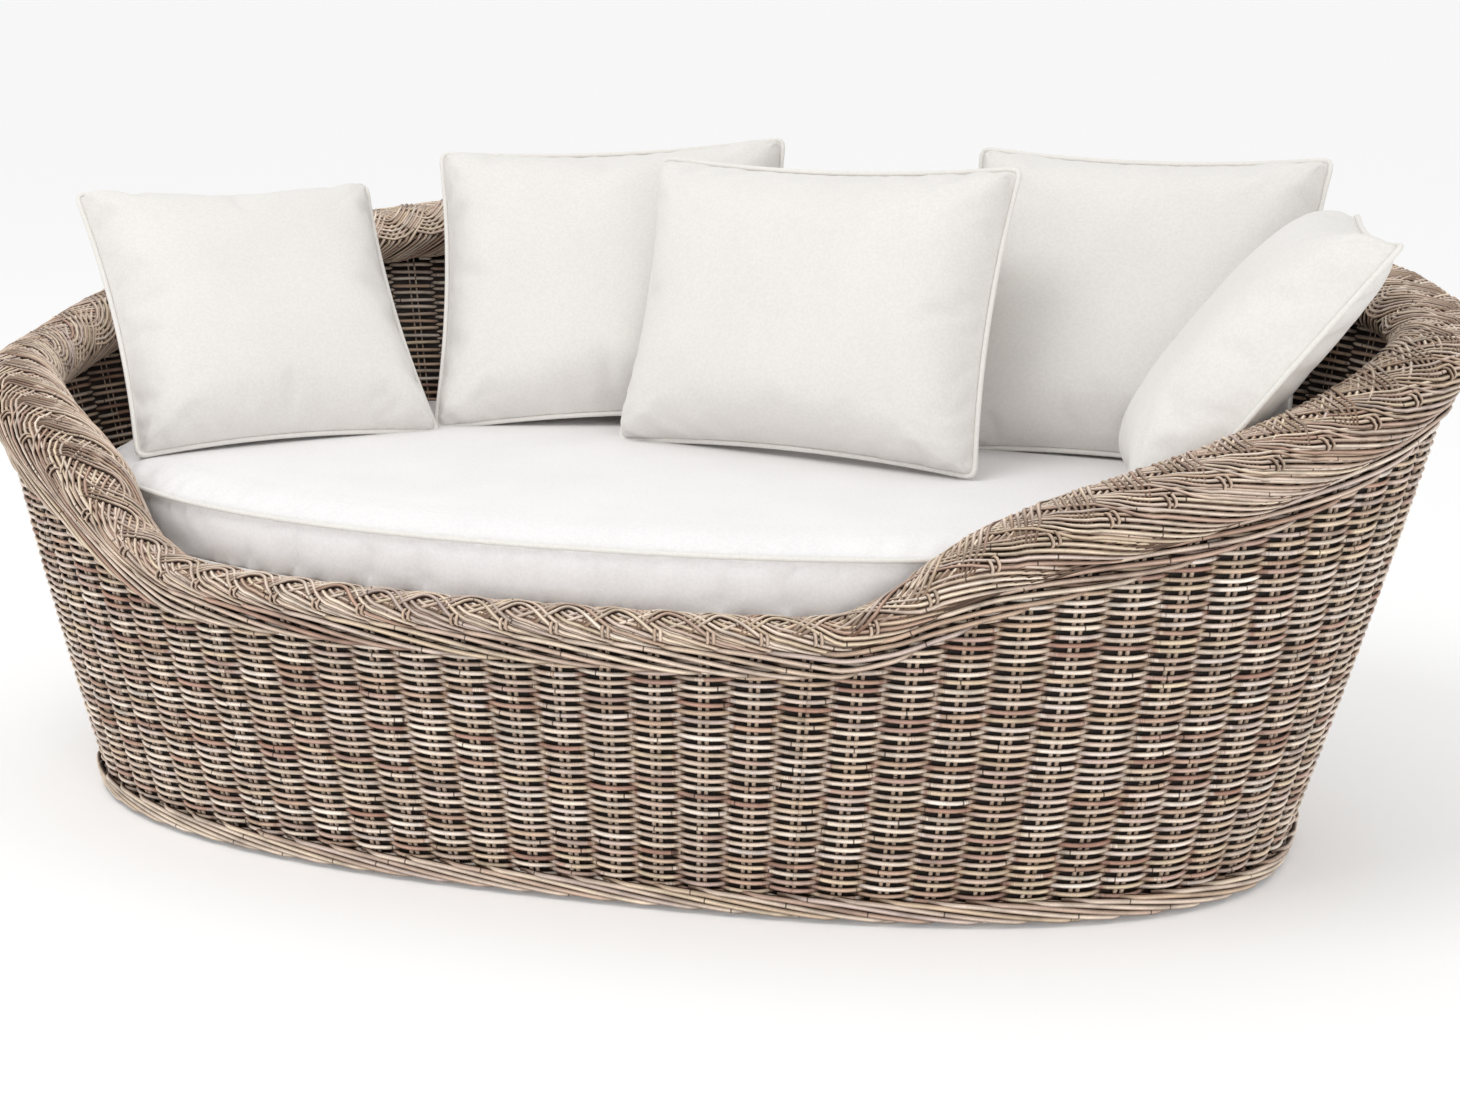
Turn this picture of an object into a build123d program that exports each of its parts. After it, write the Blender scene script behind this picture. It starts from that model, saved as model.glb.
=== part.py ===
from build123d import *
import math
import os

# A woven rattan garden daybed with a loose seat cushion and five loose pillows.
# Millimetres. +X runs along the length to the viewer's right, -Y is the open front, +Z is up.
# The origin is on the floor, under the middle leg.

os.makedirs("parts", exist_ok=True)

# Driving dimensions of the woven shell
base_half_length = 832
base_half_depth = 440
shell_level = 600
shell_half_length = 1000
shell_half_depth = 556
shell_belly = 5
base_power = 2.54
shell_power = 2.01
weave_thickness = 18

# Driving dimensions of the rolled rim and of the bands laid on the shell
front_rim_height = 386
back_rim_height = 785
front_roll_width = 48
arm_roll_width = 96
front_roll_drop = 40
arm_roll_drop = 76
front_roll_bulge = 4
arm_roll_bulge = 20
roll_full_share = 0.45
waling_height = 26
waling_thickness = 7
border_height = 32
border_thickness = 8

# Driving dimensions of the pole frame, its feet and the slatted deck
deck_height = 372
slat_thickness = 14
slat_width = 60
slat_pitch = 100
slat_count = 17
slat_end_gap = 2
slat_bearing = 12
pole_radius = 13
post_count = 12
glide_height = 4
glide_radius = 12
hoop_glide_count = 8
hoop_span_count = 10
rail_width = 40
rail_depth = 45
stretcher_width = 45
stretcher_depth = 22
leg_width = 38
leg_spacing = 450
leg_chamfer = 3

# Driving dimensions of the seat cushion
cushion_end_gap = 108.7
cushion_front_gap = 14.6
cushion_power = 2.16
cushion_edge = 80
cushion_crown = 14
cushion_draw = 6
piping_radius = 3.5
piping_side_count = 6

# Driving dimensions of the pillows, which are cut for a room of this half length and half depth
pillow_room_length = 904
pillow_room_depth = 460
pillow_draw = 14
piping_corner_radius = 9
piping_corner_ease = 3
left_pillow_width = 433
left_pillow_height = 430
left_pillow_place = (-552, -52)
left_pillow_front = 78
left_pillow_back = 62
back_left_pillow_width = 515
back_left_pillow_height = 440
back_left_pillow_place = (-158, 186)
back_left_pillow_front = 76
back_left_pillow_back = 76
centre_pillow_width = 560
centre_pillow_height = 405
centre_pillow_place = (147, 36)
centre_pillow_front = 80
centre_pillow_back = 62
back_right_pillow_width = 492
back_right_pillow_height = 440
back_right_pillow_place = (560, 141)
back_right_pillow_front = 72
back_right_pillow_back = 54
right_pillow_width = 344
right_pillow_height = 435
right_pillow_place = (640, -104)
right_pillow_front = 88
right_pillow_back = 27

# Clearances
soft_gap = 0.3
joint_gap = 0.3
band_gap = 0.4

# How the pillows stand, in degrees: turned to the side, leant back, tipped in their own plane
left_pillow_stance = (45, 40, -1)
back_left_pillow_stance = (12, 31, 3)
centre_pillow_stance = (-17, 18, 1)
back_right_pillow_stance = (-9, 25, 0)
right_pillow_stance = (-80, 38, 0)

# Turn angles where the lengths of the shell meet, in degrees round the oval, -90 at the front
left_foot_turn = -122
right_foot_turn = -70
right_back_turn = 38
left_back_turn = 140
full_turn = 360

# Height of the rim round the oval, as a share of the rise from the front to the back
rim_shares = [
    (-180, 0.55), (-160, 0.50), (-148, 0.41), (-139, 0.30), (-134, 0.17), (-129, 0.06),
    (-124, 0.005), (-116, 0.0), (-74, 0.0), (-69, 0.005), (-65, 0.06), (-61, 0.165),
    (-57, 0.26), (-51, 0.35), (-36, 0.50), (-20, 0.65), (-8, 0.755), (5, 0.80),
    (20, 0.86), (45, 0.95), (80, 1.0), (108, 0.98), (128, 0.907), (150, 0.76), (166, 0.64),
    (180, 0.55),
]

# Section of a pillow's half from its seam to its crown: rise, half-side and corner, as shares
pillow_shares = [(0.46, 0.93, 0.875), (0.77, 0.8, 0.7), (0.94, 0.56, 0.46), (1.0, 0.26, 0.2)]

# Section of the seat cushion's top from its piping to its crown: rise and outline, as shares
crown_shares = [(0.5, 0.985), (0.86, 0.95), (1.0, 0.88)]

# Levels and depths that follow from the dimensions above
shell_foot = glide_height + joint_gap
slat_level = deck_height - slat_thickness
seat_hoop_level = slat_level - joint_gap - pole_radius
base_hoop_level = shell_foot + pole_radius
shell_lean = math.atan((shell_half_length - base_half_length + 4 * shell_belly) / shell_level)
base_hoop_depth = weave_thickness + (pole_radius + joint_gap) / math.cos(shell_lean)
slat_depth = front_roll_width + slat_end_gap
seat_hoop_depth = slat_depth + slat_bearing
cushion_level = deck_height + soft_gap
cushion_top = cushion_level + cushion_edge + cushion_crown
room_length_share = (shell_half_length - arm_roll_width) / pillow_room_length
room_depth_share = (shell_half_depth - arm_roll_width) / pillow_room_depth


def rim_share(turn):
    """Smooth reading of the rim's height share at a turn angle."""
    turn = (turn + 180) % 360 - 180
    before = [(a - 360, s) for a, s in rim_shares[-4:-1]]
    after = [(a + 360, s) for a, s in rim_shares[1:4]]
    spots = before + rim_shares + after
    slopes = [(q[1] - p[1]) / (q[0] - p[0]) for p, q in zip(spots, spots[1:])]
    leans = [0.0]
    for one, two in zip(slopes, slopes[1:]):
        leans.append(0.0 if one * two <= 0 else 2 * one * two / (one + two))
    leans.append(0.0)
    i = max(k for k in range(len(spots) - 1) if spots[k][0] <= turn)
    span = spots[i + 1][0] - spots[i][0]
    t = (turn - spots[i][0]) / span
    low, high = spots[i][1], spots[i + 1][1]
    bend = (1 + 2 * t) * (1 - t) ** 2 * low + t * t * (3 - 2 * t) * high
    return bend + span * t * (1 - t) * ((1 - t) * leans[i] - t * leans[i + 1])


def rim_height(turn):
    """Height of the rim's crest at a turn angle."""
    return front_rim_height + (back_rim_height - front_rim_height) * rim_share(turn)


def rolled(turn, front_size, arm_size):
    """A size of the rolled rim, which grows from the front to the arms."""
    growth = min(1.0, max(0.0, rim_share(turn)) / roll_full_share)
    growth = growth * growth * (3 - 2 * growth)
    return front_size + (arm_size - front_size) * growth


def wall_top(turn):
    """Height where the wall ends and the rolled rim starts."""
    return rim_height(turn) - rolled(turn, front_roll_drop, arm_roll_drop)


def oval(height):
    """Half length, half depth and power of the shell's outline at a height."""
    t = height / shell_level
    half_length = base_half_length + (shell_half_length - base_half_length) * t
    half_length += 4 * shell_belly * t * (1 - t)
    half_depth = base_half_depth + (shell_half_depth - base_half_depth) * t
    return half_length, half_depth, base_power + (shell_power - base_power) * min(t, 1.0)


def azimuth_at(turn):
    """Compass angle of a turn angle, which spreads the stations evenly along the oval."""
    angle = math.radians(turn)
    return math.atan2(shell_half_depth * math.sin(angle), shell_half_length * math.cos(angle))


def oval_reach(turn, half_length, half_depth, power, depth=0):
    """Distance from the axis to an oval outline, less a depth measured square to it."""
    c = abs(math.cos(azimuth_at(turn)))
    s = abs(math.sin(azimuth_at(turn)))
    radius = ((c / half_length) ** power + (s / half_depth) ** power) ** (-1 / power)
    slope_x = (radius * c / half_length) ** (power - 1) / half_length
    slope_y = (radius * s / half_depth) ** (power - 1) / half_depth
    facing = (slope_x * c + slope_y * s) / math.hypot(slope_x, slope_y)
    return radius - depth / facing


def reach(turn, height, depth=0):
    """Distance from the axis to the shell's outer face at a height, less a depth."""
    return oval_reach(turn, *oval(height), depth)


def wall_reach(turn, height, depth=0):
    """Distance from the axis to the wall's bowed outer face, which runs through three levels."""
    top = wall_top(turn)
    levels = (shell_foot, (shell_foot + top) / 2, top)
    total = 0
    for at in levels:
        one, two = (other for other in levels if other != at)
        total += reach(turn, at, depth) * (height - one) * (height - two) / ((at - one) * (at - two))
    return total


def station(turn):
    """Upright plane through the axis at a turn angle, its X pointing outwards and its Y up."""
    angle = azimuth_at(turn)
    return Plane(
        origin=(0, 0, 0),
        x_dir=(math.cos(angle), math.sin(angle), 0),
        z_dir=(math.sin(angle), -math.cos(angle), 0),
    )


def stations(first, last, widest=9):
    """Turn angles from first to last: the rim's own spots, with even steps between them."""
    spots = [a + lap for lap in (-360, 0, 360) for a, share in rim_shares]
    stops = [first] + sorted({a for a in spots if first + 1.5 < a < last - 1.5}) + [last]
    turns = [first]
    for start, end in zip(stops, stops[1:]):
        steps = math.ceil((end - start) / widest)
        turns += [start + (end - start) * (k + 1) / steps for k in range(steps)]
    return turns


def polar(distance, turn):
    """Point at a distance from the axis in the direction of a turn angle."""
    return Vector(distance * math.cos(azimuth_at(turn)), distance * math.sin(azimuth_at(turn)))


def oval_arcs(first, last, spans, half_length, half_depth, power, depth=0):
    """Draw an oval outline from one turn angle to another as pairs of arcs that run on smoothly."""
    def spot(turn):
        return polar(oval_reach(turn, half_length, half_depth, power, depth), turn)

    nudge = 0.01
    for k in range(spans):
        start_turn = first + (last - first) * k / spans
        end_turn = first + (last - first) * (k + 1) / spans
        start, end = spot(start_turn), spot(end_turn)
        leave = (spot(start_turn + nudge) - spot(start_turn - nudge)).normalized()
        arrive = (spot(end_turn + nudge) - spot(end_turn - nudge)).normalized()
        chord = end - start
        both = leave + arrive
        spread = 2 * (1 - leave.dot(arrive))
        pull = (math.sqrt(chord.dot(both) ** 2 + spread * chord.dot(chord)) - chord.dot(both)) / spread
        first_corner = start + leave * pull
        second_corner = end - arrive * pull
        middle = (first_corner + second_corner) * 0.5
        TangentArc((start.X, start.Y), (middle.X, middle.Y), tangent=leave)
        TangentArc((middle.X, middle.Y), (end.X, end.Y), tangent=second_corner - first_corner)


sections = {
    "front": (left_foot_turn, right_foot_turn),
    "right": (right_foot_turn, right_back_turn),
    "back": (right_back_turn, left_back_turn),
    "left": (left_back_turn, left_foot_turn + full_turn),
}


def wall_face(turn):
    """Upright section of the woven wall at a turn angle."""
    top = wall_top(turn)
    middle = (top + shell_foot) / 2
    outer = [(reach(turn, z), z) for z in (shell_foot, middle, top)]
    inner = [(reach(turn, z, weave_thickness), z) for z in (top, middle, shell_foot)]
    with BuildSketch(station(turn)) as face:
        with BuildLine():
            ThreePointArc(*outer)
            Line(outer[2], inner[0])
            ThreePointArc(*inner)
            Line(inner[2], outer[0])
        make_face()
    return face.sketch


def rim_face(turn):
    """Upright section of the rolled rim: foot, cheek, crest, shoulder, inner edge, tuck and heel."""
    crest = rim_height(turn)
    drop = rolled(turn, front_roll_drop, arm_roll_drop)
    width = rolled(turn, front_roll_width, arm_roll_width)
    bulge = rolled(turn, front_roll_bulge, arm_roll_bulge)
    low = crest - drop + joint_gap
    foot = (reach(turn, low), low)
    heel = (reach(turn, low, weave_thickness), low)
    cheek = (reach(turn, crest - drop / 2, -bulge), crest - drop / 2)
    top = (reach(turn, crest, width * 0.38), crest)
    shoulder = (reach(turn, crest, width * 0.84), crest - drop * 0.16)
    edge = (reach(turn, crest, width), crest - drop * 0.46)
    tuck = (reach(turn, crest, width * 0.78), crest - drop * 0.83)
    with BuildSketch(station(turn)) as face:
        with BuildLine():
            ThreePointArc(foot, cheek, top)
            ThreePointArc(top, shoulder, edge)
            ThreePointArc(edge, tuck, heel)
            Line(heel, foot)
        make_face()
    return face.sketch


def band_face(turn, low, high, thickness):
    """Section of a braided band that lies on the shell's outer face."""
    middle = (low + high) / 2
    with BuildSketch(station(turn)) as face:
        with BuildLine():
            ThreePointArc(
                (wall_reach(turn, low, -band_gap), low),
                (wall_reach(turn, middle, -band_gap - thickness), middle),
                (wall_reach(turn, high, -band_gap), high),
            )
            Line((wall_reach(turn, high, -band_gap), high), (wall_reach(turn, low, -band_gap), low))
        make_face()
    return face.sketch


# The woven wall, its rolled rim, the waling under the rim and the foot border, in four lengths
for side, (first, last) in sections.items():
    turns = stations(first, last)

    with BuildPart() as wall:
        for turn in turns:
            add(wall_face(turn))
        loft()
    wall.part.label = f"woven_wall_{side}"
    export_step(wall.part, f"parts/woven_wall_{side}.step")

    with BuildPart() as rim:
        for turn in turns:
            add(rim_face(turn))
        loft()
    rim.part.label = f"rolled_rim_{side}"
    export_step(rim.part, f"parts/rolled_rim_{side}.step")

    with BuildPart() as waling:
        for turn in turns:
            top = wall_top(turn) - joint_gap
            add(band_face(turn, top - waling_height, top, waling_thickness))
        loft()
    waling.part.label = f"waling_band_{side}"
    export_step(waling.part, f"parts/waling_band_{side}.step")

    with BuildPart() as border:
        for turn in turns:
            add(band_face(turn, shell_foot, shell_foot + border_height, border_thickness))
        loft()
    border.part.label = f"foot_border_{side}"
    export_step(border.part, f"parts/foot_border_{side}.step")

# The hoops of bent pole inside the shell, each in a front and a back length
hoops = {
    "seat_hoop_front": (seat_hoop_level, seat_hoop_depth, -180, 0),
    "seat_hoop_back": (seat_hoop_level, seat_hoop_depth, 0, 180),
    "base_hoop_front": (base_hoop_level, base_hoop_depth, -180, 0),
    "base_hoop_back": (base_hoop_level, base_hoop_depth, 0, 180),
}
for name, (level, depth, first, last) in hoops.items():
    with BuildPart() as hoop:
        with BuildLine(Plane.XY.offset(level)) as path:
            oval_arcs(first, last, hoop_span_count, *oval(level), depth)
        with BuildSketch(path.line ^ 0):
            Circle(pole_radius)
        sweep()
    hoop.part.label = name
    export_step(hoop.part, f"parts/{name}.step")

# The upright posts, between the crests of the two hoops and leaning with the shell
post_foot = base_hoop_level + pole_radius + joint_gap
post_head = seat_hoop_level - pole_radius - joint_gap
with BuildPart() as posts:
    for k in range(post_count):
        turn = (k + 0.5) * 360 / post_count
        ends = (
            (post_foot, reach(turn, base_hoop_level, base_hoop_depth)),
            (post_head, reach(turn, seat_hoop_level, seat_hoop_depth)),
        )
        for level, distance in ends:
            with BuildSketch(Plane.XY.offset(level)):
                with Locations(polar(distance, turn)):
                    Circle(pole_radius)
        loft()
posts.part.label = "upright_posts"
export_step(posts.part, "parts/upright_posts.step")

# The rail under the slats, from one end of the seat hoop to the other
rail_top = slat_level - joint_gap
rail_half = reach(0, seat_hoop_level, seat_hoop_depth) - pole_radius - joint_gap
with BuildPart() as rail:
    with BuildSketch(Plane.XY.offset(rail_top)):
        Rectangle(2 * rail_half, rail_width)
    extrude(amount=-rail_depth)
rail.part.label = "centre_rail"
export_step(rail.part, "parts/centre_rail.step")

# The floor stretchers, from the front of the base hoop to its back
stretcher_foot = shell_foot
leg_places = (-leg_spacing, 0, leg_spacing)
with BuildPart() as stretchers:
    with BuildSketch(Plane.XY.offset(stretcher_foot)):
        with BuildLine():
            hoop_inside = base_hoop_depth + pole_radius + joint_gap
            oval_arcs(-180, 180, 24, *oval(base_hoop_level), hoop_inside)
        make_face()
        with Locations(*[(x, 0) for x in leg_places]):
            Rectangle(stretcher_width, 2 * base_half_depth, mode=Mode.INTERSECT)
    extrude(amount=stretcher_depth)
stretchers.part.label = "floor_stretchers"
export_step(stretchers.part, "parts/floor_stretchers.step")

# The middle legs, from the stretchers to the rail
leg_foot = stretcher_foot + stretcher_depth + joint_gap
leg_head = rail_top - rail_depth - joint_gap
with BuildPart() as legs:
    with BuildSketch(Plane.XY.offset(leg_foot)):
        with Locations(*[(x, 0) for x in leg_places]):
            Rectangle(leg_width, leg_width)
    extrude(amount=leg_head - leg_foot)
    chamfer(legs.edges().filter_by(Axis.Z), leg_chamfer)
legs.part.label = "middle_legs"
export_step(legs.part, "parts/middle_legs.step")

# The slats of the deck, cut to the inside of the shell
with BuildPart() as slats:
    with BuildSketch(Plane.XY.offset(slat_level)):
        with BuildLine():
            oval_arcs(-180, 180, 24, *oval(slat_level), slat_depth)
        make_face()
        with GridLocations(slat_pitch, 0, slat_count, 1):
            Rectangle(slat_width, 2 * shell_half_depth, mode=Mode.INTERSECT)
    extrude(amount=slat_thickness)
slats.part.label = "deck_slats"
export_step(slats.part, "parts/deck_slats.step")

# The floor glides, under the base hoop and under the middle of each stretcher
glide_turns = [(k + 0.5) * 360 / hoop_glide_count for k in range(hoop_glide_count)]
with BuildPart() as glides:
    with BuildSketch(Plane.XY):
        with Locations(*[polar(reach(a, base_hoop_level, base_hoop_depth), a) for a in glide_turns]):
            Circle(glide_radius)
        with Locations(*[(x, 0) for x in leg_places]):
            Circle(glide_radius)
    extrude(amount=glide_height)
glides.part.label = "floor_glides"
export_step(glides.part, "parts/floor_glides.step")

# The seat cushion, cut to the inside of the rim: drawn-in sides, then a low crown
rim_half_length, rim_half_depth, rim_power = oval(front_rim_height)
cushion_half_length = rim_half_length - weave_thickness - cushion_end_gap
cushion_half_depth = rim_half_depth - front_roll_width - cushion_front_gap
cushion_oval = (cushion_half_length, cushion_half_depth, cushion_power)
with BuildPart() as seat_cushion:
    for share, draw in ((0, 0), (0.5, cushion_draw), (1, 0)):
        with BuildSketch(Plane.XY.offset(cushion_level + cushion_edge * share)):
            with BuildLine():
                oval_arcs(-180, 180, 8, *cushion_oval, draw)
            make_face()
    loft()
    for share, outline in [(0, 1.0)] + crown_shares:
        with BuildSketch(Plane.XY.offset(cushion_level + cushion_edge + cushion_crown * share)):
            with BuildLine():
                oval_arcs(-180, 180, 8, *cushion_oval, (1 - outline) * cushion_half_depth)
            make_face()
    loft()
seat_cushion.part.label = "seat_cushion"
export_step(seat_cushion.part, "parts/seat_cushion.step")

# The cushion's piping, round its top edge and its bottom edge
bottom_draw = 4 * cushion_draw * piping_radius * (cushion_edge - piping_radius) / cushion_edge**2
piping_lines = {
    "seat_piping_bottom": (cushion_level + piping_radius, bottom_draw - piping_radius - soft_gap),
    "seat_piping_top": (cushion_level + cushion_edge, -piping_radius - soft_gap),
}
for name, (level, inset) in piping_lines.items():
    with BuildPart() as piping:
        with BuildLine(Plane.XY.offset(level)) as path:
            oval_arcs(-180, 180, 8, *cushion_oval, inset)
        with BuildSketch(path.line ^ 0):
            RegularPolygon(piping_radius, piping_side_count)
        sweep()
    piping.part.label = name
    export_step(piping.part, f"parts/{name}.step")

# The pillows: each leans on the shell or on its neighbour, with piping round its seam
pillows = {
    "left_pillow": (
        left_pillow_width, left_pillow_height, left_pillow_front, left_pillow_back,
        left_pillow_place, left_pillow_stance,
    ),
    "back_left_pillow": (
        back_left_pillow_width, back_left_pillow_height, back_left_pillow_front,
        back_left_pillow_back, back_left_pillow_place, back_left_pillow_stance,
    ),
    "centre_pillow": (
        centre_pillow_width, centre_pillow_height, centre_pillow_front, centre_pillow_back,
        centre_pillow_place, centre_pillow_stance,
    ),
    "back_right_pillow": (
        back_right_pillow_width, back_right_pillow_height, back_right_pillow_front,
        back_right_pillow_back, back_right_pillow_place, back_right_pillow_stance,
    ),
    "right_pillow": (
        right_pillow_width, right_pillow_height, right_pillow_front, right_pillow_back,
        right_pillow_place, right_pillow_stance,
    ),
}


def seam_plane(height, place, stance):
    """Plane of a pillow's seam: origin at its centre, X along its width, Z to its front."""
    turned, leant, tipped = (math.radians(angle) for angle in stance)
    level = Vector(math.cos(turned), math.sin(turned), 0)
    back = Vector(-math.sin(turned), math.cos(turned), 0)
    rising = Vector(0, 0, 1) * math.cos(leant) + back * math.sin(leant)
    across = level * math.cos(tipped) + rising * math.sin(tipped)
    upwards = rising * math.cos(tipped) - level * math.sin(tipped)
    origin = Vector(place[0], place[1], cushion_top) + upwards * (height / 2)
    return Plane(origin=origin, x_dir=across, z_dir=across.cross(upwards))


def pillow_face(plane, rise, half_width, half_height, side, corner, draw):
    """Section of a pillow: four bowed sides that meet at the corners."""
    wide, tall = half_width * corner, half_height * corner
    side_wide, side_tall = half_width * side - draw, half_height * side - draw
    with BuildSketch(plane.offset(rise)) as face:
        with BuildLine():
            ThreePointArc((-wide, -tall), (0, -side_tall), (wide, -tall))
            ThreePointArc((wide, -tall), (side_wide, 0), (wide, tall))
            ThreePointArc((wide, tall), (0, side_tall), (-wide, tall))
            ThreePointArc((-wide, tall), (-side_wide, 0), (-wide, -tall))
        make_face()
    return face.sketch


for name, (*sizes, place, stance) in pillows.items():
    room_share = min(room_length_share, room_depth_share)
    width, height, front, back = (size * room_share for size in sizes)
    place = (place[0] * room_length_share, place[1] * room_depth_share)
    seam = seam_plane(height, place, stance)
    with BuildPart() as pillow:
        for swell in (front, -back):
            add(pillow_face(seam, 0, width / 2, height / 2, 1, 1, pillow_draw))
            for rise, side, corner in pillow_shares:
                add(pillow_face(seam, swell * rise, width / 2, height / 2, side, corner, 0))
            loft()

    edge = piping_radius + soft_gap
    wide, tall = width / 2 + edge + piping_corner_ease, height / 2 + edge + piping_corner_ease
    draw = pillow_draw + piping_corner_ease
    with BuildPart() as piping:
        with BuildLine(seam) as path:
            ThreePointArc((-wide, -tall), (0, draw - tall), (wide, -tall))
            ThreePointArc((wide, -tall), (wide - draw, 0), (wide, tall))
            ThreePointArc((wide, tall), (0, tall - draw), (-wide, tall))
            ThreePointArc((-wide, tall), (draw - wide, 0), (-wide, -tall))
            fillet(path.vertices(), piping_corner_radius)
        with BuildSketch(path.line ^ 0):
            RegularPolygon(piping_radius, piping_side_count)
        sweep()

    # The pillow comes to rest on the cushion's crown
    lowest = min(piece.bounding_box().min.Z for piece in (pillow.part, piping.part))
    for piece in (pillow.part, piping.part):
        piece.move(Location((0, 0, cushion_top + soft_gap - lowest)))
    pillow.part.label = name
    export_step(pillow.part, f"parts/{name}.step")
    piping.part.label = f"{name}_piping"
    export_step(piping.part, f"parts/{name}_piping.step")
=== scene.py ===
import math
import bmesh
import bpy
import numpy as np
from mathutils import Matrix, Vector


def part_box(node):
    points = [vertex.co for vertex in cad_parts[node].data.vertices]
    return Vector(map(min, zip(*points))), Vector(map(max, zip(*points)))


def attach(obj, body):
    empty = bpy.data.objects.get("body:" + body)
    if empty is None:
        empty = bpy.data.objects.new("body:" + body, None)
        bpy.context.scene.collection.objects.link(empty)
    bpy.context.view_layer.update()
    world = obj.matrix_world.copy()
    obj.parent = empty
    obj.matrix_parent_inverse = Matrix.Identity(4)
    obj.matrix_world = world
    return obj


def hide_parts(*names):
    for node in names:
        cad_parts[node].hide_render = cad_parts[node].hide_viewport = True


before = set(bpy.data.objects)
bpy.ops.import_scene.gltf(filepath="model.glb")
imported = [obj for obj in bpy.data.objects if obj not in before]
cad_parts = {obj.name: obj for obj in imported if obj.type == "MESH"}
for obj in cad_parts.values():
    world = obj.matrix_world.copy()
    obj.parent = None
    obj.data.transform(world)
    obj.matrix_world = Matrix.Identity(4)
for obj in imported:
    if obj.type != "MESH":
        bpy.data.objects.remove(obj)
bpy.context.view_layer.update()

rng = np.random.default_rng(11)

# Camera at the photograph's angle
camera_place = (0.9548, -3.0733, 1.1242)
camera_turn = math.radians(16.0)
camera_tilt = math.radians(13.6)
camera_lens = 59.28

# The shell, with the source's own sizes in metres. A turn is an angle round it in degrees, with 0 at
# the right end and -90 at the middle of the open front
base_half_length, base_half_depth = 0.832, 0.440
shell_half_length, shell_half_depth = 1.000, 0.556
shell_level, shell_belly, shell_foot = 0.600, 0.005, 0.0043
base_power, shell_power = 2.54, 2.01
weave_thickness = 0.018
front_rim_height, back_rim_height = 0.386, 0.785
roll_width, roll_drop, roll_bulge = (0.048, 0.096), (0.040, 0.076), (0.004, 0.020)
roll_full_share = 0.45
joint_gap = 0.0003
waling_height, border_height = 0.026, 0.032
left_foot_turn, right_foot_turn, right_back_turn, left_back_turn = -122, -70, 38, 140

# Turn and height share of the rim, from the lowest place, 0, to the highest, 1
rim_shares = [
    (-180, 0.55), (-160, 0.50), (-148, 0.41), (-139, 0.30), (-134, 0.17), (-129, 0.06),
    (-124, 0.005), (-116, 0.0), (-74, 0.0), (-69, 0.005), (-65, 0.06), (-61, 0.165),
    (-57, 0.26), (-51, 0.35), (-36, 0.50), (-20, 0.65), (-8, 0.755), (5, 0.80),
    (20, 0.86), (45, 0.95), (80, 1.0), (108, 0.98), (128, 0.907), (150, 0.76), (166, 0.64),
    (180, 0.55),
]

# The weave. Stakes are numbered round the shell; a stake number may fall between two of them
stake_count = 76
steps_per_stake = 6
row_pitch = 0.0055
weaver_radius = 0.00305
weaver_swing = 0.0059
weaver_dip = 0.0010
# Painted shade on the weavers: on the side toward the middle of the wall, beside the side that shows,
# and all round where the rows cross
weaver_shade, weaver_groove_shade, crossing_crevice_shade = 1.25, 0.85, 0.22
row_headroom = 0.004
shortest_run = 4
stake_radius = 0.0027
stake_spread = 0.0046
stake_levels = 26
# A dark sheet of painted shade in the middle of the wall
wall_shade_sheet_depth, wall_shade_sheet_half = 0.0105, 0.0005
wall_shade_sheet_foot, wall_shade_sheet_shortfall = 0.004, 0.006
wall_shade_sheet_layers = 14
row_seed = 1000
cane_passes, canes_in_row, first_cane_lead = (7, 26), 24, 12
pass_tone_spread = 0.012
stake_start, stake_overrun = 0.001, 0.003

# The bands and the rolled rim
waling_rise = 0.013
band_steps = 30
# Painted shade beside the side of each cane that shows, here for the bands and below for the roll and
# the stake heads
band_groove_shade = 1.2
band_tuck_share, band_tuck_depth = 0.14, 0.010
roll_breaks = (0.40, 0.68)
rim_cane_radius, rim_cane_wobble = 0.0030, 0.0005
rim_groove_shade, rim_tone_spread = 1.4, 0.06
outer_spacing, inner_spacing = 0.0067, 0.0070
outer_steps, inner_steps = 34, 30
many_canes, few_canes, many_canes_growth = 6, 5, 0.5
head_radius, head_spread, head_groove_shade, head_steps = 0.0025, 0.0034, 0.9, 12
hollow_cane_places = np.arange(0.05, 0.90, 0.028)
hollow_outer_end = 0.30
hollow_outer_depth, hollow_inner_depth = 0.0056, 0.0034
# Painted shade on the hollow canes, which grows with their depth
hollow_lit_depth, hollow_shade_rate = 0.001, 150
# Depth of the dark filling of painted shade inside the roll
rim_shade_filling_depth = 0.0065

# The soft parts
piping_radius = 0.0035
cushion_power = 2.16
cushion_edge, cushion_draw = 0.080, 0.006
deck_height, soft_gap = 0.372, 0.0003
rim_level_length = 0.94467
rim_level_depth = 0.51463
cushion_half_length = rim_level_length - weave_thickness - 0.1087
cushion_half_depth = rim_level_depth - roll_width[0] - 0.0146
pillow_draw = 0.014
pillow_grid = 63
piping_stand_off = 0.0025
start_share = 0.93
gather_depth = 0.0016
cloth_frames = 20
cushion_voxel, cushion_swell, pillow_swell = 0.011, 0.007, 0.012
cushion_steps, cord_steps, pillow_side_steps = 360, 480, 60
seam_reach = 0.006

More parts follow.
